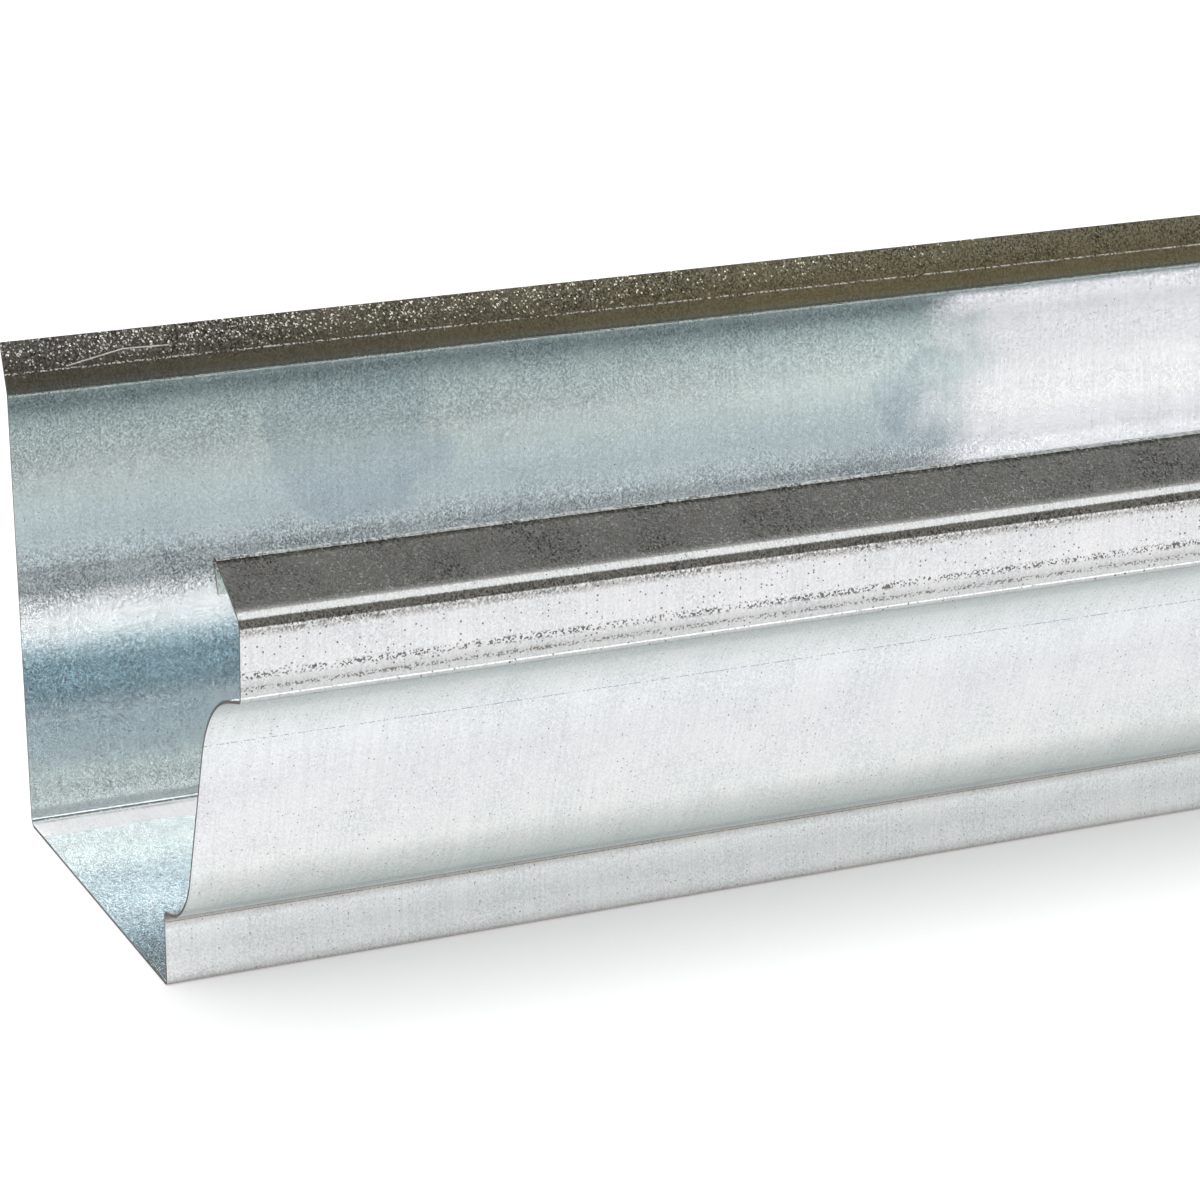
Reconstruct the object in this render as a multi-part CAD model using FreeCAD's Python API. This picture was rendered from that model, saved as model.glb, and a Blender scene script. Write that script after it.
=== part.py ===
import FreeCAD, Part
import math
import os

os.makedirs("parts", exist_ok=True)

# Ogee (K-style) rain gutter, one stock length, roll-formed from one strip of
# galvanised steel.  Millimetres.  X runs along the length, +Y is towards the
# building and +Z is up.  The origin is the centre of the flat underside.

# ---- stock -----------------------------------------------------------------
length = 3048.0          # ten-foot length
sheet = 0.475            # 28 gauge galvanised sheet, zinc included

# ---- widths and heights, all on the outer face, corner to corner -------------
base_width = 80.7        # flat bottom, foot of the strip to foot of the back wall
wall_height = 79.9       # foot of the back wall to the kick bend
kick_length = 9.2        # kicked-back strip above that bend
strip_height = 12.9      # plain strip at the foot of the front
step_reach = 11.7        # forward reach of the step over the strip
ogee_height = 42.7       # rise of the sloping ogee face
ledge_reach = 16.3       # forward reach of the ledge under the fascia
fascia_height = 13.1     # plain band at the top of the front
lip_length = 15.2        # lip sloping up and back from the nose
return_length = 7.5      # hem turned down and under from the lip

# ---- slopes, degrees ---------------------------------------------------------
draft = 1.0              # outward lean of the back wall and of the front strip
kick_lean = 21.0         # lean of the kicked strip towards the building
step_rise = 12.0         # forward rise of the step
ledge_rise = 16.0        # forward rise of the ledge
ogee_lean = 20.5         # forward lean of the ogee face
fascia_lean = 3.8        # forward lean of the fascia
lip_rise = 33.5          # rise of the lip towards the back
return_lean = 19.5       # lean of the hem, its free edge pointing forward

# ---- bend radii, always on the tighter face of the bend ----------------------
kick_bend = 2.0
foot_bend = 1.3          # back wall to bottom
corner_bend = 0.7        # bottom to strip, ledge to fascia
hem_bend = 0.5           # lip to hem
step_bend = 1.6          # strip to step
belly_bend = 15.6        # swelling lower part of the ogee
cove_bend = 21.5         # hollow upper part of the ogee
nose_bend = 2.7          # fascia to lip


def heading(degrees):
    a = math.radians(degrees)
    return math.cos(a), math.sin(a)


def step_on(start, direction, run):
    return start[0] + direction[0] * run, start[1] + direction[1] * run


# Directions of travel in the YZ plane, from the kicked strip's free edge down
# the back, along the bottom and up the front.
kick_way = heading(270.0 - kick_lean)
wall_way = heading(270.0 - draft)
base_way = heading(180.0)
strip_way = heading(90.0 + draft)
step_way = heading(180.0 - step_rise)
ledge_way = heading(180.0 - ledge_rise)
ogee_way = heading(90.0 + ogee_lean)
fascia_way = heading(90.0 + fascia_lean)
lip_way = heading(lip_rise)
return_way = heading(270.0 - return_lean)

# Corners of the outer face.
back_foot = (base_width / 2.0, 0.0)
kick_corner = step_on(back_foot, wall_way, -wall_height / -wall_way[1])
kick_edge = step_on(kick_corner, kick_way, -kick_length)
strip_foot = step_on(back_foot, base_way, base_width)
strip_top = step_on(strip_foot, strip_way, strip_height / strip_way[1])
belly_corner = step_on(strip_top, step_way, step_reach / -step_way[0])
cove_corner = step_on(belly_corner, ogee_way, ogee_height / ogee_way[1])
ledge_corner = step_on(cove_corner, ledge_way, ledge_reach / -ledge_way[0])
nose_corner = step_on(ledge_corner, fascia_way, fascia_height / fascia_way[1])
lip_corner = step_on(nose_corner, lip_way, lip_length)
return_edge = step_on(lip_corner, return_way, return_length)

path = [
    (kick_edge, 0.0),
    (kick_corner, kick_bend),
    (back_foot, foot_bend),
    (strip_foot, corner_bend),
    (strip_top, step_bend),
    (belly_corner, belly_bend),
    (cove_corner, cove_bend),
    (ledge_corner, corner_bend),
    (nose_corner, nose_bend),
    (lip_corner, hem_bend),
    (return_edge, 0.0),
]


def unit(a, b):
    run = math.hypot(b[0] - a[0], b[1] - a[1])
    return (b[0] - a[0]) / run, (b[1] - a[1]) / run


def vec(p):
    return FreeCAD.Vector(-length / 2.0, p[0], p[1])


def inward(way, depth):
    # the trough is on the right-hand side of the direction of travel
    return way[1] * depth, -way[0] * depth


def face_edges(depth):
    """Edges of the sheet's face that lies `depth` inside the outer face."""
    first_way = unit(path[0][0], path[1][0])
    off = inward(first_way, depth)
    pen = (path[0][0][0] + off[0], path[0][0][1] + off[1])
    edges = []
    for before, here, after in zip(path, path[1:], path[2:]):
        way_in = unit(before[0], here[0])
        way_out = unit(here[0], after[0])
        turn = math.atan2(
            way_in[0] * way_out[1] - way_in[1] * way_out[0],
            way_in[0] * way_out[0] + way_in[1] * way_out[1],
        )
        # a turn to the right curls round the trough: the inner face is tighter
        curls_in = turn < 0.0
        outer_radius = here[1] + sheet if curls_in else here[1]
        radius = outer_radius - depth if curls_in else outer_radius + depth
        side = 1.0 if curls_in else -1.0
        setback = outer_radius * math.tan(abs(turn) / 2.0)
        touch = step_on(here[0], way_in, -setback)
        to_centre = inward(way_in, side * outer_radius)
        centre = (touch[0] + to_centre[0], touch[1] + to_centre[1])
        start = inward(way_in, -side * radius)
        end = inward(way_out, -side * radius)
        start = (centre[0] + start[0], centre[1] + start[1])
        end = (centre[0] + end[0], centre[1] + end[1])
        middle_way = unit(here[0], centre)
        middle = step_on(centre, middle_way, -radius)
        edges.append(Part.LineSegment(vec(pen), vec(start)).toShape())
        edges.append(Part.Arc(vec(start), vec(middle), vec(end)).toShape())
        pen = end
    last_way = unit(path[-2][0], path[-1][0])
    off = inward(last_way, depth)
    last = (path[-1][0][0] + off[0], path[-1][0][1] + off[1])
    edges.append(Part.LineSegment(vec(pen), vec(last)).toShape())
    return edges


outer = face_edges(0.0)
inner = face_edges(sheet)
close_kick = Part.LineSegment(
    outer[0].Vertexes[0].Point, inner[0].Vertexes[0].Point
).toShape()
close_return = Part.LineSegment(
    outer[-1].Vertexes[-1].Point, inner[-1].Vertexes[-1].Point
).toShape()

outline = Part.Wire(Part.__sortEdges__(outer + inner + [close_kick, close_return]))
section = Part.Face(outline)
gutter = section.extrude(FreeCAD.Vector(length, 0.0, 0.0))
gutter.exportStep("parts/gutter_section.step")
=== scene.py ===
import bpy
import math
from mathutils import Matrix, Vector
from types import SimpleNamespace


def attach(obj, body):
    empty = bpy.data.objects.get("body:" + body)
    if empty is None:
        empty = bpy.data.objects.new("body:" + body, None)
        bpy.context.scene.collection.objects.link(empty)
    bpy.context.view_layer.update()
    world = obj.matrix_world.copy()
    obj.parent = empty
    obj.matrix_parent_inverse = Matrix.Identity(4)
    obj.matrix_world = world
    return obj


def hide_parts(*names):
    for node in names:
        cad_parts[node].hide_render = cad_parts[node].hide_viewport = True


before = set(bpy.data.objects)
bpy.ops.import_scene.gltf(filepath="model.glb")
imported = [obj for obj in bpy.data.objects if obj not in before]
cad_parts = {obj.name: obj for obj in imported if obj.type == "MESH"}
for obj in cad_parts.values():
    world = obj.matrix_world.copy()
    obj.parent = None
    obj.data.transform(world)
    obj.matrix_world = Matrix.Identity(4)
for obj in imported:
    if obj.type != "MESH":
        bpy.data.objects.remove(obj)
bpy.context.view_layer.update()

MM = 0.001

# ---- the sheet, in millimetres and degrees: one strip of 28 gauge galvanised steel --
LENGTH = 3048.0
SHEET = 0.475
# from corner to corner of the outer face: heights upright, reaches level, lengths along the sheet
BASE_WIDTH = 80.7
WALL_HEIGHT = 79.9
KICK_LENGTH = 9.2
STRIP_HEIGHT = 12.9
STEP_REACH = 11.7
OGEE_HEIGHT = 42.7
LEDGE_REACH = 16.3
FASCIA_HEIGHT = 13.1
LIP_LENGTH = 15.2
RETURN_LENGTH = 7.5
# leans from upright and rises from level
DRAFT = 1.0
KICK_LEAN = 21.0
STEP_RISE = 12.0
LEDGE_RISE = 16.0
OGEE_LEAN = 20.5
FASCIA_LEAN = 3.8
LIP_RISE = 33.5
RETURN_LEAN = 19.5
# radii on the inside of each bend
KICK_BEND = 2.0
FOOT_BEND = 1.3
CORNER_BEND = 0.7
HEM_BEND = 0.5
STEP_BEND = 1.6
BELLY_BEND = 15.6
COVE_BEND = 21.5
NOSE_BEND = 2.7
# how finely the mesh follows the section: the flats, the ease beside a bend, and the bends
FLAT_STEP, EASE, BEND_STEP = 8.0, 1.1, 0.9
FEWEST_BEND_PARTS = 8
# distances from a cut end at which the mesh has points: close together at the cut, wide apart beyond
FROM_CUT = [
    0, 0.4, 1, 2, 3.5, 5.5, 8, 11, 15, 20, 27, 36, 48, 64, 84, 108, 136, 170, 210, 260, 330, 430, 600,
    850, 1150,
]
# faces that meet at more degrees than this have a sharp edge between them
SHARP_ANGLE = 40
# the sheet's two faces
OUTER, TROUGH = 0, 1


def heading(degrees):
    """Direction of travel across the sheet, as (Y, Z)."""
    angle = math.radians(degrees)
    return math.cos(angle), math.sin(angle)


def step_on(start, way, run):
    return start[0] + way[0] * run, start[1] + way[1] * run


def inward(way, depth):
    """The trough is on the right-hand side of the direction of travel."""
    return way[1] * depth, -way[0] * depth


def unit(a, b):
    run = math.hypot(b[0] - a[0], b[1] - a[1])
    return (b[0] - a[0]) / run, (b[1] - a[1]) / run


def section_corners():
    """Corners of the outer face, from the kicked edge round to the hem's edge, with their bends."""
    wall_way = heading(270 - DRAFT)
    back_foot = (BASE_WIDTH / 2, 0.0)
    kick_corner = step_on(back_foot, wall_way, -WALL_HEIGHT / -wall_way[1])
    kick_edge = step_on(kick_corner, heading(270 - KICK_LEAN), -KICK_LENGTH)
    strip_foot = (-BASE_WIDTH / 2, 0.0)
    strip_way = heading(90 + DRAFT)
    strip_top = step_on(strip_foot, strip_way, STRIP_HEIGHT / strip_way[1])
    step_way = heading(180 - STEP_RISE)
    belly = step_on(strip_top, step_way, STEP_REACH / -step_way[0])
    ogee_way = heading(90 + OGEE_LEAN)
    cove = step_on(belly, ogee_way, OGEE_HEIGHT / ogee_way[1])
    ledge_way = heading(180 - LEDGE_RISE)
    ledge = step_on(cove, ledge_way, LEDGE_REACH / -ledge_way[0])
    fascia_way = heading(90 + FASCIA_LEAN)
    nose = step_on(ledge, fascia_way, FASCIA_HEIGHT / fascia_way[1])
    lip = step_on(nose, heading(LIP_RISE), LIP_LENGTH)
    hem_edge = step_on(lip, heading(270 - RETURN_LEAN), RETURN_LENGTH)
    return [
        ("kick_edge", kick_edge, 0.0), ("kick", kick_corner, KICK_BEND),
        ("back_foot", back_foot, FOOT_BEND), ("strip_foot", strip_foot, CORNER_BEND),
        ("step", strip_top, STEP_BEND), ("belly", belly, BELLY_BEND),
        ("cove", cove, COVE_BEND), ("ledge", ledge, CORNER_BEND),
        ("nose", nose, NOSE_BEND), ("lip", lip, HEM_BEND), ("hem_edge", hem_edge, 0.0),
    ]


def flat_steps(flat):
    """Distances along a flat at which it gets points: one close to each bend, where the sheet eases
    into the flat, and others about every 8 mm."""
    ease = min(EASE, flat / 3)
    first, last = ease, flat - ease
    count = max(1, round((last - first) / FLAT_STEP))
    return [first + (last - first) * i / count for i in range(count + 1)]


def section_stations(corners):
    """Points round the section: (outer point, trough point, run along the sheet's middle). The two arcs
    of a bend share a centre, so the sheet keeps its thickness."""
    pen = corners[0][1]
    first_way = unit(pen, corners[1][1])
    stations, run = [(pen, step_on(pen, inward(first_way, 1), SHEET), 0.0)], 0.0
    for before, here, after in zip(corners, corners[1:], corners[2:]):
        way_in, way_out = unit(before[1], here[1]), unit(here[1], after[1])
        turn = math.atan2(way_in[0] * way_out[1] - way_in[1] * way_out[0],
                          way_in[0] * way_out[0] + way_in[1] * way_out[1])
        curls_in = turn < 0
        outer_radius = here[2] + SHEET if curls_in else here[2]
        inner_radius = here[2] if curls_in else here[2] + SHEET
        side = 1.0 if curls_in else -1.0
        touch = step_on(here[1], way_in, -outer_radius * math.tan(abs(turn) / 2))
        centre = step_on(touch, inward(way_in, side), outer_radius)
        flat = math.hypot(touch[0] - pen[0], touch[1] - pen[1])
        for gone in flat_steps(flat):
            point = step_on(pen, way_in, gone)
            stations.append((point, step_on(point, inward(way_in, 1), SHEET), run + gone))
        run += flat
        bend_run = (outer_radius + inner_radius) / 2 * abs(turn)
        parts = max(FEWEST_BEND_PARTS, round(abs(turn) * outer_radius / BEND_STEP))
        for i in range(parts + 1):
            angle = turn * i / parts
            spoke = inward(way_in, -side)
            spoke = (spoke[0] * math.cos(angle) - spoke[1] * math.sin(angle),
                     spoke[0] * math.sin(angle) + spoke[1] * math.cos(angle))
            outer, trough = step_on(centre, spoke, outer_radius), step_on(centre, spoke, inner_radius)
            stations.append((outer, trough, run + bend_run * i / parts))
        run += bend_run
        pen = stations[-1][0]
    end = corners[-1][1]
    way = unit(corners[-2][1], end)
    run += math.hypot(end[0] - pen[0], end[1] - pen[1])
    stations.append((end, step_on(end, inward(way, 1), SHEET), run))
    return stations


def length_stations():
    """Distances from the near cut end: those of FROM_CUT from each end, and the middle."""
    return FROM_CUT + [LENGTH / 2] + [LENGTH - x for x in reversed(FROM_CUT)]


stations = section_stations(section_corners())
total_run = stations[-1][2]


def gutter_sheet():
    """The roll-formed sheet: both faces, the two sawn ends and the two slit edges. Each point keeps its
    place on the sheet, and each face of the mesh says whether it is a cut edge."""
    along, count = length_stations(), len(stations)
    last, end = len(along) - 1, count - 1

    def at(column, face, i):
        return (column * 2 + face) * count + i

    vertices, places = [], []
    for x in along:
        for face in (OUTER, TROUGH):
            for station in stations:
                y, z = station[face]
                vertices.append(((x - LENGTH / 2) * MM, y * MM, z * MM))
                places += [x, station[2], float(face)]
    faces, cut = [], []
    for c in range(last):
        for i in range(end):
            j = i + 1
            faces.append((at(c, OUTER, i), at(c + 1, OUTER, i), at(c + 1, OUTER, j), at(c, OUTER, j)))
            faces.append((at(c, TROUGH, i), at(c, TROUGH, j), at(c + 1, TROUGH, j), at(c + 1, TROUGH, i)))
            cut += [0.0, 0.0]
        faces.append((at(c, OUTER, 0), at(c, TROUGH, 0), at(c + 1, TROUGH, 0), at(c + 1, OUTER, 0)))
        faces.append((at(c, OUTER, end), at(c + 1, OUTER, end), at(c + 1, TROUGH, end), at(c, TROUGH, end)))
        cut += [1.0, 1.0]
    for i in range(end):
        j = i + 1
        faces.append((at(0, OUTER, i), at(0, OUTER, j), at(0, TROUGH, j), at(0, TROUGH, i)))
        faces.append((at(last, OUTER, i), at(last, TROUGH, i), at(last, TROUGH, j), at(last, OUTER, j)))
        cut += [1.0, 1.0]
    mesh = bpy.data.meshes.new("gutter_sheet")
    mesh.from_pydata(vertices, [], faces)
    mesh.validate()
    mesh.update()
    sheet_place = mesh.attributes.new("sheet_place", "FLOAT_VECTOR", "POINT")
    sheet_place.data.foreach_set("vector", places)
    cut_edge = mesh.attributes.new("cut_edge", "FLOAT", "FACE")
    cut_edge.data.foreach_set("value", cut)
    mesh.polygons.foreach_set("use_smooth", [True] * len(faces))
    mesh.set_sharp_from_angle(angle=math.radians(SHARP_ANGLE))
    return mesh


# ---- colours and nodes -----------------------------------------------------------
def linear(hex_code):
    """An sRGB hex value as the linear colour that the shader wants."""
    def turn(v):
        return v / 12.92 if v <= 0.04045 else ((v + 0.055) / 1.055) ** 2.4
    parts = [int(hex_code[i:i + 2], 16) / 255 for i in (1, 3, 5)]
    return tuple(turn(v) for v in parts) + (1.0,)


def add(tree, kind, inputs=None, out=0, **settings):
    """Adds a node, gives it its settings, then sets or links its inputs. Returns one of its outputs, or the
    node itself if it has none."""
    made = tree.nodes.new(kind)
    for name, value in settings.items():
        setattr(made, name, value)
    for key, value in (inputs or {}).items():
        if isinstance(value, bpy.types.NodeSocket):
            tree.links.new(value, made.inputs[key])
        else:
            made.inputs[key].default_value = value
    return made.outputs[out] if made.outputs else made


# a Mix node's two colours and its result, by the places of their sockets
FIRST, SECOND, MIXED = 6, 7, 2


def new_material(name):
    material = bpy.data.materials.new(name)
    material.use_nodes = True
    material.node_tree.nodes.clear()
    return material, material.node_tree


# stops that one colour ramp is given; it can't hold more than 32
RAMP_STOPS = 30


def across_sheet(tree, part, stops):
    """A tone or an amount laid across the sheet, from stops (millimetres, sRGB hex) or (millimetres,
    amount). A list too long for one colour ramp is laid over several."""
    laid = None
    for first in range(0, len(stops) - 1, RAMP_STOPS - 1):
        few = stops[first:first + RAMP_STOPS]
        colour = add(tree, "ShaderNodeValToRGB", {"Fac": part})
        elements = colour.node.color_ramp.elements
        while len(elements) < len(few):
            elements.new(0.5)
        for element, (run, _) in zip(elements, few):
            element.position = run / total_run
        for element, (_, shade) in zip(elements, few):
            element.color = linear(shade) if isinstance(shade, str) else (shade, shade, shade, 1.0)
        if laid is not None:
            beyond = add(tree, "ShaderNodeMath", {0: part, 1: few[0][0] / total_run},
                         operation="GREATER_THAN")
            colour = add(tree, "ShaderNodeMix", {"Factor": beyond, FIRST: laid, SECOND: colour}, out=MIXED,
                         data_type="RGBA")
        laid = colour
    return laid


# ---- the finish: places are mm along the sheet from the near cut, and mm across it from the kicked edge
# tone of the zinc over the outer face, across the sheet, with painted shade and reflection in it: a dark
# line along the strip's foot, a brownish band under the step's overhang, a darker underside of the belly, a
# grey-green band under the fascia, a darker line under the nose's highlight and a dark fold of the hem
OUTER_TONE_AND_PAINTED_SHADE = [
    (0.0, "#DDE3E4"), (88, "#DDE3E4"), (167.2, "#E6E9E9"), (167.7, "#8B827A"), (168.6, "#8B827A"),
    (169.2, "#F0F2F2"), (171.5, "#F0F2F2"), (174, "#E3E6E6"), (178.8, "#ECEEEE"), (179.4, "#8A827C"),
    (183.0, "#A09C96"), (184.5, "#DDE2E1"), (187, "#D0D9D9"), (190.5, "#C2CDCB"), (193, "#CED7D4"),
    (199, "#E2E5E4"), (202, "#F0F2F1"), (208, "#ECEDEE"), (218, "#E2E3E5"), (227, "#E5E7E9"),
    (235, "#F0F5F4"), (240, "#D0D9D7"), (251, "#98A19F"), (252.6, "#C8CACA"), (254, "#BCBCBC"),
    (256, "#D8D8D9"), (262.7, "#D2D2D4"), (263.1, "#96938F"), (263.5, "#A09D99"), (263.9, "#E9EAEA"),
    (267, "#E0E1E0"), (272, "#E2E3E2"), (275.4, "#F4F5F4"), (276.1, "#A8AAA8"), (276.5, "#5A5E5E"),
    (278.2, "#454848"), (278.8, "#8A8E8E"), (282, "#8A8E8E"),
]
# and over the trough face, with painted reflections and shade: bands on the back wall, dark under the
# kicked strip and at about 42 to 46 mm, white at about 49 to 55 mm and blue at about 57 to 65 mm, a darker
# foot of the wall, a white strip of floor beside it, and a darker front face of the hem
INNER_TONE_AND_PAINTED_REFLECTIONS = [
    (0.0, "#F6F4EE"), (2.6, "#EAE8E0"), (5.4, "#D4D0C4"), (6.2, "#DCD7C6"), (8.5, "#D8D3C2"),
    (9.0, "#DCEAEC"), (9.6, "#6C7876"), (10.3, "#4A5355"), (12.5, "#555F60"), (15, "#7A8686"),
    (19, "#ABB7B7"), (25, "#D1DDDD"), (29, "#CDD9DA"), (32, "#C4D1D4"), (37, "#AEB9BC"),
    (42, "#747A7C"), (45.5, "#888F91"), (48.5, "#E2E5E6"), (51, "#FFFFFF"), (54.5, "#FCFEFF"),
    (57, "#C6D2D6"), (60, "#95A6AE"), (65, "#A8BCC3"), (69, "#EEF9FD"), (72, "#D6E4E8"),
    (76, "#C6D2D4"), (80.5, "#D0D8D6"), (83.5, "#AEB7B7"), (87.4, "#AAB3B4"), (89.8, "#FFFFFF"),
    (103, "#FFFFFF"), (108, "#F7FDFF"), (116, "#F1FAFF"), (167, "#EDF8FF"), (170, "#F9F9F9"),
    (277, "#F9F9F9"), (278.5, "#727D77"), (282.8, "#727D77"),
]
# and on the stretch of the back wall further along, where a painted highlight lies, brightest at about 33
# mm
PAINTED_HIGHLIGHT_TONE = [
    (10, "#9D9EA1"), (15, "#A3A4A7"), (18, "#BFC0C4"), (22, "#D6D7DB"), (27, "#F0F1F4"),
    (33, "#FFFFFF"), (37, "#E0E1E4"), (39.5, "#BBBCC0"), (44, "#B7B8BB"),
]
# dull white bloom on the trough face, by its start and end across the sheet: on the floor beside the back
# foot, on the painted white strip there, and behind the top of the belly
BLOOMS = [(89.2, 95.5), (197.0, 212.0)]
# how ragged and how soft its edges are
BLOOM_RAGGED, BLOOM_SOFT = 0.4, 0.5
# the hem's fold, rubbed dull by the rolls, by its middle and half width across the sheet
HEM_RUB, HEM_RUB_HALF = 277.4, 1.2
# how much the crystals differ in tone from one to the next, over the outer face and over the trough face
OUTER_GRAIN = [
    (0, 0.25), (167, 0.25), (170, 0.22), (200, 0.18), (250, 0.2), (253, 0.2), (262, 0.2), (262.8, 1.2),
    (264.3, 1.2), (264.8, 0.1), (266.0, 0.1), (266.8, 1.3), (276, 1.3), (282, 0.3),
]
INNER_GRAIN = [
    (0, 1.2), (5, 1.1), (7, 0.5), (8.8, 0.3), (9.6, 0.2), (10.6, 0.65), (15, 0.45), (19, 0.22),
    (36, 0.2), (41, 0.8), (47, 0.9), (51, 0.15), (57, 0.5), (62, 0.7), (68, 0.4), (76, 0.22), (84, 0.5),
    (88, 0.15), (98, 0.1), (108, 0.4), (118, 0.7), (167, 0.7), (282, 0.3),
]
# lines along the sheet: face, place across, half width, tone, share of crystals left clean. The dotted rows
# at
# 253.9 and 256.0 on the fascia are marks from the rolls; the rest are painted: shade in the back foot's
# crease and under the step's overhang, highlights at 186.2 and 252.5, and dark reflections at 189.3 and
# 227.7
ROLL_LINES_AND_PAINTED_LIGHT = [
    (TROUGH, 88.4, 0.35, "#8F9799", 0.1),
    (OUTER, 179.3, 0.1, "#8A8078", 0.05),
    (OUTER, 186.2, 0.2, "#FFFFFF", 0.1),
    (OUTER, 189.3, 0.25, "#93A5A8", 0.1),
    (OUTER, 227.7, 0.13, "#8FA3AC", 0.45),
    (OUTER, 252.5, 0.16, "#F4F4F2", 0.1),
    (OUTER, 253.9, 0.45, "#7C7874", 0.62),
    (OUTER, 256.0, 0.8, "#6A6764", 0.7),
]
# on the kicked strip: the rolls' dotted line, the foot of the sparkling part, and the strip's own foot
KICK_LINE, KICK_FOOT, KICK_END = 5.8, 6.4, 9.2
# a scratch on it, by the points that it runs through, as (along, across), and half its width
SCRATCH, SCRATCH_HALF = [(11.7, 5.3), (21.8, 3.4), (30.2, 3.6)], 0.17
# blue stains of the passivation on the back wall: centre along and across, half size along and across
STAINS = [(64, 25, 19, 15), (184, 30, 15, 11)]
# how ragged and how strong they are, and what puts the outer face out of their reach
STAIN_RAGGED, STAIN_DEPTH, OFF_FACE = 0.2, 0.3, 50.0
# where the back wall's painted highlight starts along the sheet, where it is whole, and how ragged that
# edge is
BRIGHT_FROM, BRIGHT_FULL, BRIGHT_RAGGED = 176.0, 199.0, 5.0
# the painted highlight fades in across the sheet under the kicked strip, and out towards the back wall's
# foot
BRIGHT_TOP, BRIGHT_FOOT = (9.6, 10.8), (60.0, 86.0)
# where the kicked strip's painted reflection starts to turn warmer along the sheet, and where it is warmest
WARMING_FROM, WARMING_FULL = 15.0, 150.0
# middle and half width across the sheet of the fascia, and of the flat of the lip
FASCIA, LIP = (257.5, 5.5), (271.5, 4.8)
# sizes in mm: a zinc crystal, the spacing of pinholes, a streak of the skin pass, the zinc's clouds
CRYSTAL, PIT_SPACING, STREAK, CLOUD = 0.26, 0.9, (0.5, 30.0), 11.0
# random number above which a spacing may have a pinhole, and in spacings the radius of the widest and what
# the fascia adds to every radius
PITLESS, PIT_RADIUS, FASCIA_PIT = 0.7, 0.15, 0.06
# how strongly the cloudy patches, streaks and pinholes show
PATCH_DEPTH, STREAK_DEPTH, PIT_DEPTH = 0.1, 0.07, 0.8
# how much the clouds vary the crystals, and how even they are under the painted highlight
CLOUD_GRAIN, BRIGHT_EVEN = 0.35, 0.85
# how far a crystal's face is tilted: anywhere, more on the lip, and at most where the kicked strip sparkles
TILT, LIP_TILT, SPARKLE_TILT = 0.012, 0.06, 0.75
# the sparkle thins out along the sheet between these places, down to this share
SPARKLE_FULL, SPARKLE_THIN, SPARKLE_LEFT = 25.0, 230.0, 0.2
# roughness of a crystal, from the smoothest to the roughest, and what each dull mark adds to it
SMOOTHEST, ROUGHEST = 0.13, 0.2
PIT_DULL, MARK_DULL, CUT_DULL, BLOOM_DULL, HEM_DULL = 0.2, 0.42, 0.3, 0.35, 0.4
# how much of the metal's mirror the bloom covers
BLOOM_COVER = 0.9
# colours: cloudy patches, stains, the kicked strip's painted reflection near the cut and further along,
# streaks, pinholes, the marks on the kicked strip, and sawn steel
PATCH, STAIN, NEAR_CUT, WARM_REFLECTION = "#A9B8C4", "#AFC1D2", "#CDCDD0", "#FFFAE0"
STREAKED, PITTED, SCRATCHED, SAWN = "#8E9699", "#5F5B58", "#FFFFFF", "#3E342F"
# places the two faces apart in the plane that the patterns are drawn in
FACE_SHIFT = 400.0


def sheet_coordinates(tree):
    """Where a point lies: mm along the sheet from the near cut, mm across it from the kicked edge and as a
    part of the whole, 1 on the trough face, 1 on a cut edge, the plane that the patterns are drawn in, and
    the zinc's cloudiness there from about -1 to 1."""
    place = add(tree, "ShaderNodeAttribute", out="Vector", attribute_name="sheet_place")
    cut = add(tree, "ShaderNodeAttribute", out="Fac", attribute_name="cut_edge")
    along, across, trough = [add(tree, "ShaderNodeSeparateXYZ", {0: place}, out=axis) for axis in range(3)]
    shifted = add(tree, "ShaderNodeMath", {0: trough, 1: FACE_SHIFT, 2: across}, operation="MULTIPLY_ADD")
    plane = add(tree, "ShaderNodeCombineXYZ", {0: along, 1: shifted})
    part = add(tree, "ShaderNodeMath", {0: across, 1: total_run}, operation="DIVIDE")
    cloud = add(tree, "ShaderNodeTexNoise", {"Vector": plane, "Scale": 1 / CLOUD, "Detail": 2.0},
                noise_dimensions="2D")
    cloud = add(tree, "ShaderNodeMapRange", {"Value": cloud, "From Min": 0.3, "From Max": 0.7,
                                             "To Min": -1.0, "To Max": 1.0})
    return SimpleNamespace(place=place, along=along, across=across, trough=trough, cut=cut, plane=plane,
                           part=part, cloud=cloud)


def zinc_crystals(tree, at):
    """Grains of a minimised spangle: a random colour for each, and that colour's three parts as random
    numbers. Real grains are finer and wouldn't show, so these are drawn coarser."""
    cells = add(tree, "ShaderNodeTexVoronoi", {"Vector": at.plane, "Scale": 1 / CRYSTAL}, out="Color",
                voronoi_dimensions="2D")
    return [cells] + [add(tree, "ShaderNodeSeparateColor", {0: cells}, out=channel) for channel in range(3)]


def kicked_strip(tree, at):
    """1 on the trough face of the kicked strip."""
    above = add(tree, "ShaderNodeMapRange", {"Value": at.across, "From Min": KICK_END + 0.4,
                                             "From Max": KICK_END - 0.6})
    return add(tree, "ShaderNodeMath", {0: above, 1: at.trough}, operation="MULTIPLY")


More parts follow.
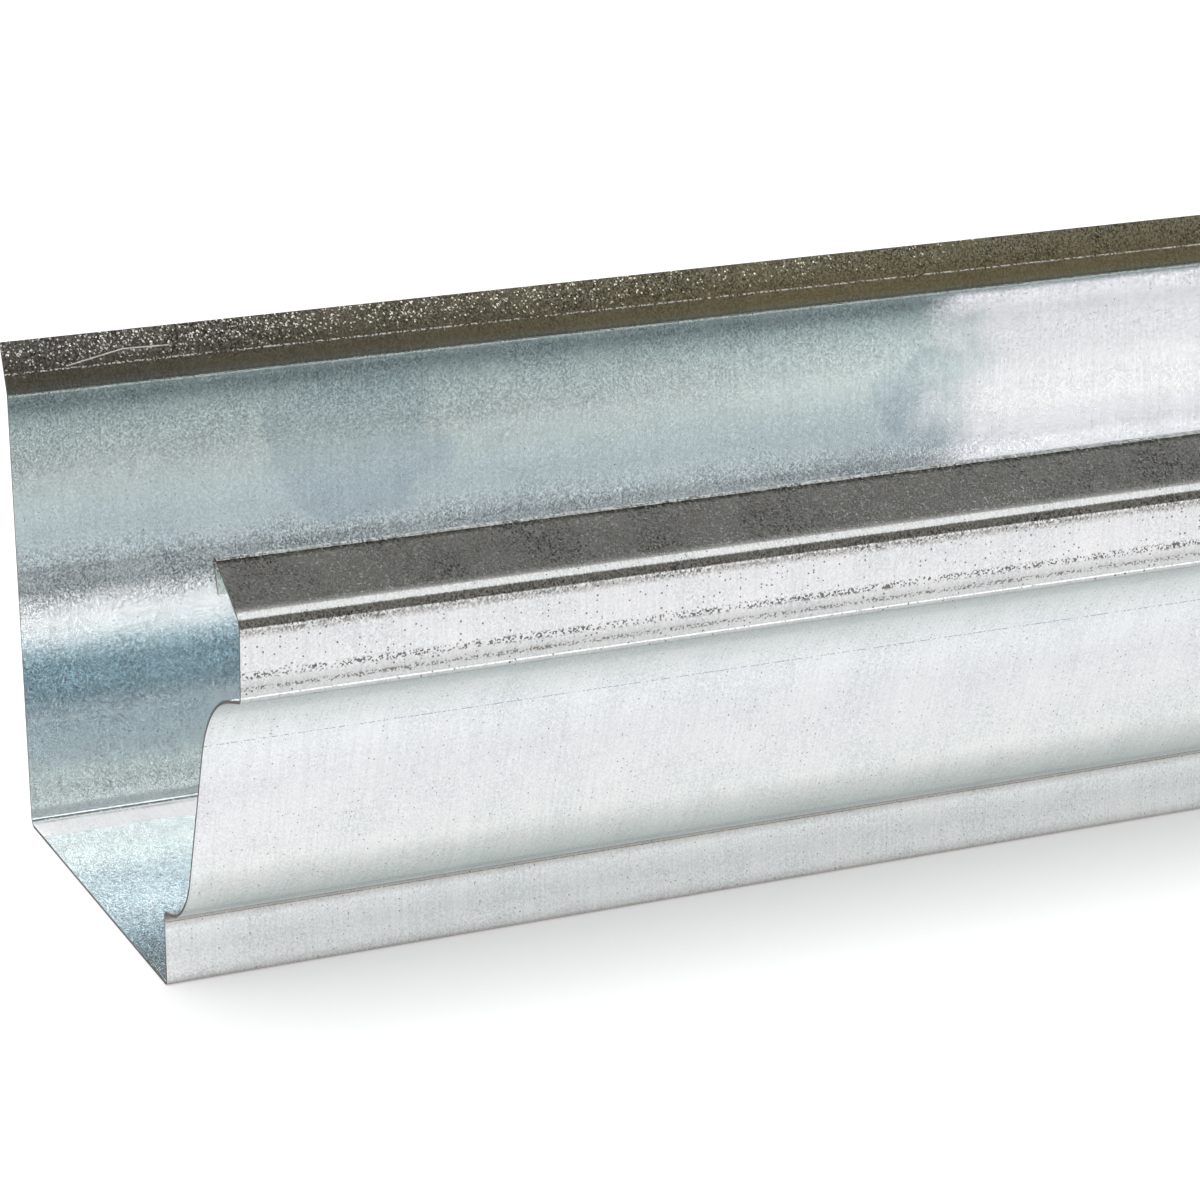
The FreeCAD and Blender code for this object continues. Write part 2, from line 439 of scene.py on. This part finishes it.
def tone_over_sheet(tree, at):
    """The zinc's tone from edge to edge on both faces, with painted shade and reflections in it, a little
    uneven along the sheet.
    """
    outer, inner = across_sheet(tree, at.part, OUTER_TONE_AND_PAINTED_SHADE), across_sheet(tree, at.part, INNER_TONE_AND_PAINTED_REFLECTIONS)
    tone = add(tree, "ShaderNodeMix", {"Factor": at.trough, FIRST: outer, SECOND: inner}, out=MIXED,
               data_type="RGBA")
    patch = add(tree, "ShaderNodeMapRange", {"Value": at.cloud, "From Min": -1.0, "To Max": PATCH_DEPTH})
    return add(tree, "ShaderNodeMix", {"Factor": patch, FIRST: tone, SECOND: linear(PATCH)}, out=MIXED,
               data_type="RGBA", blend_type="MULTIPLY")


def passivation_stains(tree, at, tone):
    """Pale blue stains with uneven edges."""
    for centre_x, centre_s, size_x, size_s in STAINS:
        centre, scale = (centre_x, centre_s, 1.0), (1 / size_x, 1 / size_s, OFF_FACE)
        off = add(tree, "ShaderNodeVectorMath", {0: at.place, 1: centre}, operation="SUBTRACT")
        off = add(tree, "ShaderNodeVectorMath", {0: off, 1: scale}, operation="MULTIPLY")
        reach = add(tree, "ShaderNodeVectorMath", {0: off}, out="Value", operation="LENGTH")
        reach = add(tree, "ShaderNodeMath", {0: at.cloud, 1: STAIN_RAGGED, 2: reach},
                    operation="MULTIPLY_ADD")
        stain = add(tree, "ShaderNodeMapRange", {"Value": reach, "From Min": 1.0, "From Max": 0.8,
                                                 "To Max": STAIN_DEPTH})
        tone = add(tree, "ShaderNodeMix", {"Factor": stain, FIRST: tone, SECOND: linear(STAIN)}, out=MIXED,
                   data_type="RGBA", blend_type="MULTIPLY")
    return tone


def painted_highlight_stretch(tree, at, tone):
    """Further along, a painted highlight lies on the back wall. Returns the tone, and 1 on that stretch."""
    edge = add(tree, "ShaderNodeMath", {0: at.cloud, 1: BRIGHT_RAGGED, 2: at.along},
               operation="MULTIPLY_ADD")
    bright = add(tree, "ShaderNodeMapRange", {"Value": edge, "From Min": BRIGHT_FROM,
                                              "From Max": BRIGHT_FULL}, interpolation_type="SMOOTHSTEP")
    above = add(tree, "ShaderNodeMapRange", {"Value": at.across, "From Min": BRIGHT_FOOT[1],
                                             "From Max": BRIGHT_FOOT[0]})
    below = add(tree, "ShaderNodeMapRange", {"Value": at.across, "From Min": BRIGHT_TOP[0],
                                             "From Max": BRIGHT_TOP[1]})
    for limit in (above, below, at.trough):
        bright = add(tree, "ShaderNodeMath", {0: bright, 1: limit}, operation="MULTIPLY")
    # the tone of the painted highlight across the back wall
    zinc = across_sheet(tree, at.part, PAINTED_HIGHLIGHT_TONE)
    tone = add(tree, "ShaderNodeMix", {"Factor": bright, FIRST: tone, SECOND: zinc}, out=MIXED,
               data_type="RGBA")
    return tone, bright


def painted_warm_reflection(tree, at, tone, kick):
    """Near the cut the kicked strip's painted reflection is grey; further along it turns warmer."""
    warmth = add(tree, "ShaderNodeMapRange", {"Value": at.along, "From Min": WARMING_FROM, "From Max": WARMING_FULL})
    warmth = add(tree, "ShaderNodeMix", {"Factor": warmth, FIRST: linear(NEAR_CUT), SECOND: linear(WARM_REFLECTION)},
               out=MIXED, data_type="RGBA")
    return add(tree, "ShaderNodeMix", {"Factor": kick, FIRST: tone, SECOND: warmth}, out=MIXED,
               data_type="RGBA", blend_type="MULTIPLY")


def skin_pass_streaks(tree, at, tone):
    """Faint streaks across the sheet, where the skin-pass rolls chattered."""
    squeezed = add(tree, "ShaderNodeVectorMath", {0: at.plane, 1: (1 / STREAK[0], 1 / STREAK[1], 0.0)},
                   operation="MULTIPLY")
    streak = add(tree, "ShaderNodeTexNoise", {"Vector": squeezed, "Scale": 1.0, "Detail": 1.0},
                 noise_dimensions="2D")
    streak = add(tree, "ShaderNodeMapRange", {"Value": streak, "From Min": 0.42, "From Max": 0.66,
                                              "To Max": STREAK_DEPTH})
    return add(tree, "ShaderNodeMix", {"Factor": streak, FIRST: tone, SECOND: linear(STREAKED)}, out=MIXED,
               data_type="RGBA", blend_type="MULTIPLY")


def pinholes(tree, at):
    """1 in a pinhole in the zinc, up to about 0.3 mm across; the fascia has more of them, and wider."""
    nearest = add(tree, "ShaderNodeTexVoronoi", {"Vector": at.plane, "Scale": 1 / PIT_SPACING},
                  out="Distance", voronoi_dimensions="2D")
    cells = add(tree, "ShaderNodeTexVoronoi", {"Vector": at.plane, "Scale": 1 / PIT_SPACING}, out="Color",
                voronoi_dimensions="2D")
    which = add(tree, "ShaderNodeSeparateColor", {0: cells})
    fascia = add(tree, "ShaderNodeMath", {0: at.across, 1: FASCIA[0], 2: FASCIA[1]}, operation="COMPARE")
    size = add(tree, "ShaderNodeMapRange", {"Value": which, "From Min": PITLESS, "From Max": 1.0,
                                            "To Min": -0.05, "To Max": PIT_RADIUS})
    size = add(tree, "ShaderNodeMath", {0: fascia, 1: FASCIA_PIT, 2: size}, operation="MULTIPLY_ADD")
    inside = add(tree, "ShaderNodeMath", {0: size, 1: nearest}, operation="SUBTRACT")
    return add(tree, "ShaderNodeMapRange", {"Value": inside, "From Min": -0.02, "From Max": 0.02})


def roll_lines_and_painted_light(tree, at, tone, random):
    """Lines along the sheet, broken where crystals escaped: rows of marks from the rolls, and painted shade
    and highlights.
    """
    outside = add(tree, "ShaderNodeMath", {0: 1.0, 1: at.trough}, operation="SUBTRACT")
    ragged = add(tree, "ShaderNodeMath", {0: at.cloud, 1: 0.12, 2: random}, operation="MULTIPLY_ADD")
    for face, run, half, hex_code, clean in ROLL_LINES_AND_PAINTED_LIGHT:
        off = add(tree, "ShaderNodeMath", {0: at.across, 1: run}, operation="SUBTRACT")
        off = add(tree, "ShaderNodeMath", {0: off}, operation="ABSOLUTE")
        line = add(tree, "ShaderNodeMapRange", {"Value": off, "From Min": half, "From Max": half * 0.4})
        rubbed = add(tree, "ShaderNodeMapRange", {"Value": ragged, "From Min": clean - 0.04,
                                                  "From Max": clean + 0.04})
        for limit in (rubbed, at.trough if face == TROUGH else outside):
            line = add(tree, "ShaderNodeMath", {0: line, 1: limit}, operation="MULTIPLY")
        tone = add(tree, "ShaderNodeMix", {"Factor": line, FIRST: tone, SECOND: linear(hex_code)},
                   out=MIXED, data_type="RGBA")
    return tone


def strip_marks(tree, at, kick, random):
    """1 on the rolls' dotted line and on the scratch, both on the kicked strip."""
    off = add(tree, "ShaderNodeMath", {0: at.across, 1: KICK_LINE}, operation="SUBTRACT")
    off = add(tree, "ShaderNodeMath", {0: off}, operation="ABSOLUTE")
    line = add(tree, "ShaderNodeMapRange", {"Value": off, "From Min": 0.2, "From Max": 0.08})
    dots = add(tree, "ShaderNodeMapRange", {"Value": random, "From Min": 0.45, "From Max": 0.6})
    marks = add(tree, "ShaderNodeMath", {0: line, 1: dots}, operation="MULTIPLY")
    for start, end in zip(SCRATCH, SCRATCH[1:]):
        way = (end[0] - start[0], end[1] - start[1], 0.0)
        off = add(tree, "ShaderNodeVectorMath", {0: at.place, 1: (start[0], start[1], 1.0)},
                  operation="SUBTRACT")
        share = add(tree, "ShaderNodeVectorMath", {0: off, 1: way}, out="Value", operation="DOT_PRODUCT")
        share = add(tree, "ShaderNodeMath", {0: share, 1: way[0] ** 2 + way[1] ** 2}, operation="DIVIDE",
                    use_clamp=True)
        foot = add(tree, "ShaderNodeVectorMath", {0: way, "Scale": share}, operation="SCALE")
        away = add(tree, "ShaderNodeVectorMath", {0: off, 1: foot}, out="Value", operation="DISTANCE")
        scratch = add(tree, "ShaderNodeMapRange", {"Value": away, "From Min": SCRATCH_HALF,
                                                   "From Max": 0.06})
        marks = add(tree, "ShaderNodeMath", {0: marks, 1: scratch}, operation="MAXIMUM")
    return add(tree, "ShaderNodeMath", {0: marks, 1: kick}, operation="MULTIPLY")


def crystal_tone(tree, at, tone, bright, random):
    """Lightens or darkens each crystal by as much as the crystals differ there; under the painted highlight
    on the back wall they are almost even."""
    outer, inner = across_sheet(tree, at.part, OUTER_GRAIN), across_sheet(tree, at.part, INNER_GRAIN)
    amount = add(tree, "ShaderNodeMix", {"Factor": at.trough, FIRST: outer, SECOND: inner}, out=MIXED,
                 data_type="RGBA")
    uneven = add(tree, "ShaderNodeMath", {0: at.cloud, 1: CLOUD_GRAIN, 2: 1.0}, operation="MULTIPLY_ADD")
    even = add(tree, "ShaderNodeMath", {0: bright, 1: -BRIGHT_EVEN, 2: 1.0}, operation="MULTIPLY_ADD")
    for limit in (uneven, even):
        amount = add(tree, "ShaderNodeMath", {0: amount, 1: limit}, operation="MULTIPLY")
    lighter = add(tree, "ShaderNodeMath", {0: random, 1: 0.55}, operation="SUBTRACT")
    share = add(tree, "ShaderNodeMath", {0: lighter, 1: amount, 2: 1.0}, operation="MULTIPLY_ADD")
    return add(tree, "ShaderNodeVectorMath", {0: tone, "Scale": share}, operation="SCALE")


def crystal_tilt(tree, at, cells, kick, random):
    """Tilts each crystal's face a little, more on the lip and most on the kicked strip, where crystals near
    the cut and high on the strip flash."""
    fresh = add(tree, "ShaderNodeMapRange", {"Value": at.along, "From Min": SPARKLE_FULL,
                                             "From Max": SPARKLE_THIN, "To Min": 1.0,
                                             "To Max": SPARKLE_LEFT})
    upper = add(tree, "ShaderNodeMapRange", {"Value": at.across, "From Min": KICK_FOOT + 0.6,
                                             "From Max": KICK_FOOT - 3.4, "To Min": 0.25, "To Max": 1.0})
    flash = add(tree, "ShaderNodeMath", {0: random, 1: SPARKLE_TILT}, operation="MULTIPLY")
    for limit in (fresh, upper, kick):
        flash = add(tree, "ShaderNodeMath", {0: flash, 1: limit}, operation="MULTIPLY")
    lip = add(tree, "ShaderNodeMath", {0: at.across, 1: LIP[0], 2: LIP[1]}, operation="COMPARE")
    reach = add(tree, "ShaderNodeMath", {0: lip, 1: LIP_TILT, 2: TILT}, operation="MULTIPLY_ADD")
    reach = add(tree, "ShaderNodeMath", {0: reach, 1: flash}, operation="ADD")
    tilt = add(tree, "ShaderNodeVectorMath", {0: cells, 1: (0.5, 0.5, 0.5)}, operation="SUBTRACT")
    tilt = add(tree, "ShaderNodeVectorMath", {0: tilt, "Scale": reach}, operation="SCALE")
    normal = add(tree, "ShaderNodeNewGeometry", out="Normal")
    normal = add(tree, "ShaderNodeVectorMath", {0: normal, 1: tilt}, operation="ADD")
    return add(tree, "ShaderNodeVectorMath", {0: normal}, operation="NORMALIZE")


def white_bloom(tree, at):
    """1 where the zinc has a dull white bloom."""
    ragged = add(tree, "ShaderNodeMath", {0: at.cloud, 1: BLOOM_RAGGED, 2: at.across},
                 operation="MULTIPLY_ADD")
    blooms = 0.0
    for start, end in BLOOMS:
        near = add(tree, "ShaderNodeMapRange", {"Value": ragged, "From Min": start - BLOOM_SOFT,
                                                "From Max": start + BLOOM_SOFT})
        far = add(tree, "ShaderNodeMapRange", {"Value": ragged, "From Min": end + BLOOM_SOFT,
                                               "From Max": end - BLOOM_SOFT})
        bloom = add(tree, "ShaderNodeMath", {0: near, 1: far}, operation="MULTIPLY")
        blooms = add(tree, "ShaderNodeMath", {0: blooms, 1: bloom}, operation="MAXIMUM")
    return add(tree, "ShaderNodeMath", {0: blooms, 1: at.trough}, operation="MULTIPLY")


def rubbed_hem(tree, at):
    """1 on the outside of the hem's fold."""
    fold = add(tree, "ShaderNodeMath", {0: at.across, 1: HEM_RUB, 2: HEM_RUB_HALF}, operation="COMPARE")
    return add(tree, "ShaderNodeMath", {0: fold, 1: at.trough}, operation="SUBTRACT", use_clamp=True)


def galvanised():
    """Hot-dip galvanised steel sheet, skin-passed flat and then roll-formed. The eye gets a satin metal of
    fine zinc crystals, bluish where it was passivated, with pinholes and lines from the rolls; painted
    shade, highlights and reflections lie in its tone."""
    material, tree = new_material("hot_dip_galvanised_sheet")
    at = sheet_coordinates(tree)
    cells, tilted, shaded, rubbed = zinc_crystals(tree, at)
    kick, pits, bloom = kicked_strip(tree, at), pinholes(tree, at), white_bloom(tree, at)
    # the tone carries painted shade and reflections across the sheet
    tone = tone_over_sheet(tree, at)
    tone = passivation_stains(tree, at, tone)
    # a painted highlight on the back wall further along
    tone, bright = painted_highlight_stretch(tree, at, tone)
    # the kicked strip's painted reflection, grey near the cut and warmer further along
    tone = painted_warm_reflection(tree, at, tone, kick)
    tone = skin_pass_streaks(tree, at, tone)
    # painted shade and highlights along bends, and rows of marks on the fascia
    tone = roll_lines_and_painted_light(tree, at, tone, rubbed)
    holed = add(tree, "ShaderNodeMath", {0: pits, 1: PIT_DEPTH}, operation="MULTIPLY")
    tone = add(tree, "ShaderNodeMix", {"Factor": holed, FIRST: tone, SECOND: linear(PITTED)}, out=MIXED,
               data_type="RGBA")
    tone = crystal_tone(tree, at, tone, bright, shaded)
    marks = strip_marks(tree, at, kick, rubbed)
    tone = add(tree, "ShaderNodeMix", {"Factor": marks, FIRST: tone, SECOND: linear(SCRATCHED)}, out=MIXED,
               data_type="RGBA")
    tone = add(tree, "ShaderNodeMix", {"Factor": at.cut, FIRST: tone, SECOND: linear(SAWN)}, out=MIXED,
               data_type="RGBA")
    # a crystal's own roughness, then what dulls it
    rough = add(tree, "ShaderNodeMapRange", {"Value": rubbed, "To Min": SMOOTHEST, "To Max": ROUGHEST})
    for dull, by in ((pits, PIT_DULL), (marks, MARK_DULL), (at.cut, CUT_DULL), (bloom, BLOOM_DULL),
                     (rubbed_hem(tree, at), HEM_DULL)):
        rough = add(tree, "ShaderNodeMath", {0: dull, 1: by, 2: rough}, operation="MULTIPLY_ADD")
    metallic = add(tree, "ShaderNodeMath", {0: bloom, 1: -BLOOM_COVER, 2: 1.0}, operation="MULTIPLY_ADD")
    shader = add(tree, "ShaderNodeBsdfPrincipled",
                 {"Base Color": tone, "Metallic": metallic, "Roughness": rough,
                  "Normal": crystal_tilt(tree, at, cells, kick, tilted)})
    add(tree, "ShaderNodeOutputMaterial", {"Surface": shader})
    return material


sheet_piece = bpy.data.objects.new("gutter_sheet", gutter_sheet())
bpy.context.scene.collection.objects.link(sheet_piece)
sheet_piece.data.materials.append(galvanised())
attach(sheet_piece, "root")
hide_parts("gutter_section")
# the CAD node that it replaces has the same finish
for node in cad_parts.values():
    node.data.materials.clear()
    node.data.materials.append(sheet_piece.data.materials[0])


# ---- studio, in metres ------------------------------------------------------------
# half the floor's width, the cards' distance from the gutter, and half their length
FLOOR, STUDIO, CARD_END = 12.0, 4.0, 9.0
# height that the cards' angles are counted from, and where the grey card behind gives way to the white one
CARD_AXIS, CARD_JOINT = 0.06, 0.58
# the floor's paper, and how much it is lifted
PAPER, PAPER_LIFT = "#E6E6E6", 0.35
# strength of the air as light on things, and as it is seen or mirrored
AIR_LIGHT, AIR_SEEN = 0.75, 1.0
# the lamp: metres along and across, watts, its place, and the point that it faces
KEY_SIZE, KEY_WATTS = (4.0, 1.0), 20.0
KEY_PLACE, KEY_AIM = (-1.2, -0.5, 1.4), (-1.35, 0, 0)


def card(name, corners_at, material):
    """A flat staging card with the four given corners, in metres."""
    mesh = bpy.data.meshes.new(name)
    mesh.from_pydata(corners_at, [], [(0, 1, 2, 3)])
    made = bpy.data.objects.new(name, mesh)
    bpy.context.scene.collection.objects.link(made)
    mesh.materials.append(material)
    return made


def seen_directly(tree):
    """1 for what the camera sees, also by reflection, and 0 for the light that falls on things."""
    direct, mirrored, through = [add(tree, "ShaderNodeLightPath", out=ray)
                                 for ray in ("Is Camera Ray", "Is Glossy Ray", "Is Transmission Ray")]
    seen = add(tree, "ShaderNodeMath", {0: direct, 1: mirrored}, operation="MAXIMUM")
    return add(tree, "ShaderNodeMath", {0: seen, 1: through}, operation="MAXIMUM")


def floor_material():
    """White paper: matt, and lifted to the background's white where it is seen or mirrored, but still with
    the gutter's shadow on it. From below it is clear."""
    material, tree = new_material("white_paper_floor")
    paper = add(tree, "ShaderNodeBsdfDiffuse", {"Color": linear(PAPER)})
    glow = add(tree, "ShaderNodeMath", {0: seen_directly(tree), 1: PAPER_LIFT}, operation="MULTIPLY")
    light = add(tree, "ShaderNodeEmission", {"Color": (1, 1, 1, 1), "Strength": glow})
    both = add(tree, "ShaderNodeAddShader", {0: paper, 1: light})
    under = add(tree, "ShaderNodeNewGeometry", out="Backfacing")
    clear = add(tree, "ShaderNodeBsdfTransparent")
    both = add(tree, "ShaderNodeMixShader", {"Fac": under, 1: both, 2: clear})
    add(tree, "ShaderNodeOutputMaterial", {"Surface": both})
    return material


def plain_card(name, hex_code, strength):
    """The material of a card or softbox: one colour, glowing at the given strength."""
    material, tree = new_material(name)
    light = add(tree, "ShaderNodeEmission", {"Color": linear(hex_code), "Strength": strength})
    add(tree, "ShaderNodeOutputMaterial", {"Surface": light})
    return material


card("floor", [(-FLOOR, -FLOOR, 0), (FLOOR, -FLOOR, 0), (FLOOR, FLOOR, 0), (-FLOOR, FLOOR, 0)],
     floor_material())


def band(name, low, high, hex_code, strength, from_x=-CARD_END, to_x=CARD_END, away=STUDIO):
    """A long card parallel to the gutter that fills the angles low to high, counted from the front
    horizon over the top to the back; it is only seen in reflections."""
    a, b = math.radians(low), math.radians(high)
    ya, za = -away * math.cos(a), CARD_AXIS + away * math.sin(a)
    yb, zb = -away * math.cos(b), CARD_AXIS + away * math.sin(b)
    made = card(name, [(from_x, ya, za), (to_x, ya, za), (to_x, yb, zb), (from_x, yb, zb)],
                plain_card(name, hex_code, strength))
    made.visible_camera = False
    made.visible_diffuse = False
    made.visible_shadow = False
    made.visible_transmission = False
    return made


band("front_flag_foot", -3.3, 1.0, "#4C4B47", 1.0, away=1.0)
band("front_flag", -0.8, 35.0, "#726F69", 1.0)
band("front_flag_upper", 35.0, 47.0, "#66655F", 1.1)
band("front_softbox", 47.0, 89.0, "#FFFFFF", 1.05)
band("top_flag", 89.0, 115.0, "#4C4A42", 1.0)
band("rear_softbox", 115.0, 131.0, "#FFFFFF", 6.9)
band("rear_softbox_low", 131.0, 145.0, "#FFFFFF", 4.5)
band("rear_grey_card", 145.0, 162.0, "#FFFFFF", 0.45, to_x=CARD_JOINT)
band("rear_white_card", 145.0, 162.0, "#FFFFFF", 1.4, from_x=CARD_JOINT)

world = bpy.data.worlds.new("studio_air")
bpy.context.scene.world = world
world.use_nodes = True
world.node_tree.nodes.clear()
tree = world.node_tree
level = add(tree, "ShaderNodeMapRange", {"Value": seen_directly(tree), "To Min": AIR_LIGHT,
                                         "To Max": AIR_SEEN})
air = add(tree, "ShaderNodeBackground", {"Color": (1, 1, 1, 1), "Strength": level})
add(tree, "ShaderNodeOutputWorld", {"Surface": air})
world.cycles.sampling_method = "NONE"

lamp = bpy.data.lights.new("key_softbox", "AREA")
lamp.shape = "RECTANGLE"
lamp.size, lamp.size_y = KEY_SIZE
lamp.energy = KEY_WATTS
key = bpy.data.objects.new("key_softbox", lamp)
bpy.context.scene.collection.objects.link(key)
key.location = KEY_PLACE
key.rotation_euler = (Vector(KEY_AIM) - key.location).to_track_quat("-Z", "Y").to_euler()
key.visible_glossy = False
key.visible_camera = False

# ---- camera ------------------------------------------------------------------------
# turned from square to the gutter towards its far end, tipped down and rolled; its place in metres; and the
# lens and sensor in millimetres
HEADING, DOWN, ROLL = math.radians(23.2524), math.radians(17.7941), math.radians(-0.4265)
CAMERA_PLACE = (-1.699133, -0.62766, 0.261012)
LENS, SENSOR = 121.399, 36.0
forward = Vector((math.sin(HEADING) * math.cos(DOWN), math.cos(HEADING) * math.cos(DOWN), -math.sin(DOWN)))
level_right = Vector((math.cos(HEADING), -math.sin(HEADING), 0))
level_up = level_right.cross(forward)
right = level_right * math.cos(ROLL) + level_up * math.sin(ROLL)
up = right.cross(forward)
camera_data = bpy.data.cameras.new("camera")
camera_data.lens = LENS
camera_data.sensor_width = SENSOR
camera_data.clip_start = 0.01
camera_data.clip_end = 100.0
camera = bpy.data.objects.new("camera", camera_data)
bpy.context.scene.collection.objects.link(camera)
turned = Matrix((right, up, -forward)).transposed().to_4x4()
camera.matrix_world = Matrix.Translation(CAMERA_PLACE) @ turned
bpy.context.scene.camera = camera

bpy.context.scene.view_settings.view_transform = "Standard"
